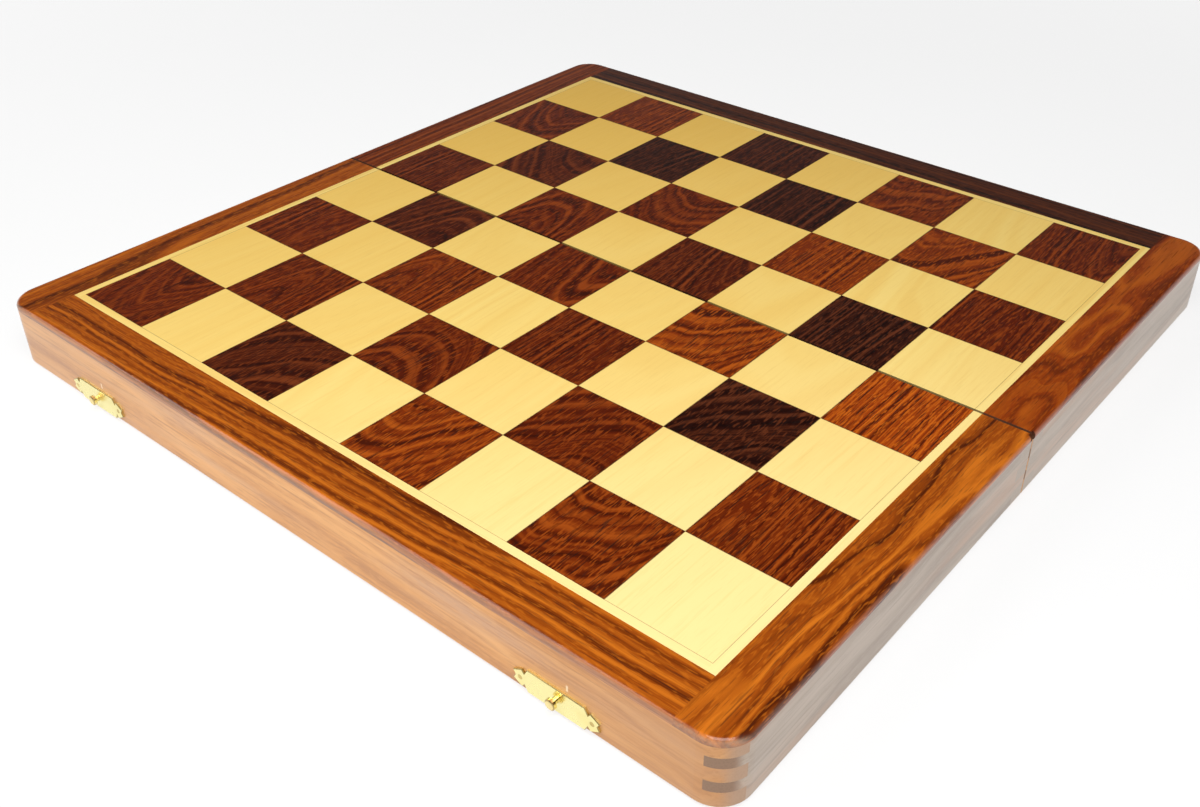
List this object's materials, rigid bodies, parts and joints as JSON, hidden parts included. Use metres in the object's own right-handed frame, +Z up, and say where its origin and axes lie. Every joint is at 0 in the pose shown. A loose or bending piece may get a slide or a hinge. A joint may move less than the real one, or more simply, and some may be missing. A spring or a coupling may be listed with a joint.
{
  "type": "folding chess board",
  "caption": "Wooden chess board in two shallow felt-lined trays, hinged rim to rim, folding into a storage box shut by brass hook latches.",
  "frame": {"origin": "under the middle of the open board, level with the bottom of the hinge knuckles", "axes": "+X along the fold to the right of the stud side, +Y from the stud side to the hook side, +Z up out of the playing surface"},
  "size_m": [0.4064, 0.4154, 0.0314],
  "materials": {
    "wall_wood": "satin lacquer",
    "border_wood": "satin lacquer",
    "dark_wood": "satin lacquer",
    "pale_wood": "satin lacquer",
    "plywood": "raw",
    "green_felt": "felt",
    "brass": "polished",
    "steel": "plain"
  },
  "bodies": {
    "front_half": {"front_wall": "wall_wood", "front_fold_wall": "wall_wood", "front_left_wall": "wall_wood", "front_right_wall": "wall_wood", "front_core_panel": "plywood", "front_border": "border_wood", "front_left_border": "border_wood", "front_right_border": "border_wood", "front_stringing": "pale_wood", "front_left_stringing": "pale_wood", "front_right_stringing": "pale_wood", "front_dark_squares": "dark_wood", "front_light_squares": "pale_wood", "front_tray_felt": "green_felt", "front_hinge_screws": "brass", "left_hinge_front_leaf": "brass", "right_hinge_front_leaf": "brass", "left_hinge_pin": "steel", "right_hinge_pin": "steel", "left_stud_plate": "brass", "right_stud_plate": "brass", "left_stud": "brass", "right_stud": "brass", "stud_plate_nails": "brass"},
    "back_half": {"back_wall": "wall_wood", "back_fold_wall": "wall_wood", "back_left_wall": "wall_wood", "back_right_wall": "wall_wood", "back_core_panel": "plywood", "back_border": "border_wood", "back_left_border": "border_wood", "back_right_border": "border_wood", "back_stringing": "pale_wood", "back_left_stringing": "pale_wood", "back_right_stringing": "pale_wood", "back_dark_squares": "dark_wood", "back_light_squares": "pale_wood", "back_tray_felt": "green_felt", "back_hinge_screws": "brass", "left_hinge_back_leaf": "brass", "right_hinge_back_leaf": "brass", "left_hook_plate": "brass", "right_hook_plate": "brass", "left_hook_rivet": "brass", "right_hook_rivet": "brass", "hook_plate_nails": "brass"},
    "left_hook": {"left_hook": "brass"},
    "right_hook": {"right_hook": "brass"}
  },
  "joints": [
    {"name": "board_fold", "type": "hinge", "parent": "front_half", "child": "back_half", "pos_m": [0, 0, 0.0013], "axis": [-1, 0, 0], "range_deg": [0, 180]},
    {"name": "left_hook_swing", "type": "hinge", "parent": "back_half", "child": "left_hook", "pos_m": [-0.1347, 0.2032, 0.0068], "axis": [0, 1, 0], "range_deg": [0, 90]},
    {"name": "right_hook_swing", "type": "hinge", "parent": "back_half", "child": "right_hook", "pos_m": [0.1347, 0.2032, 0.0068], "axis": [0, 1, 0], "range_deg": [0, 90]}
  ]
}
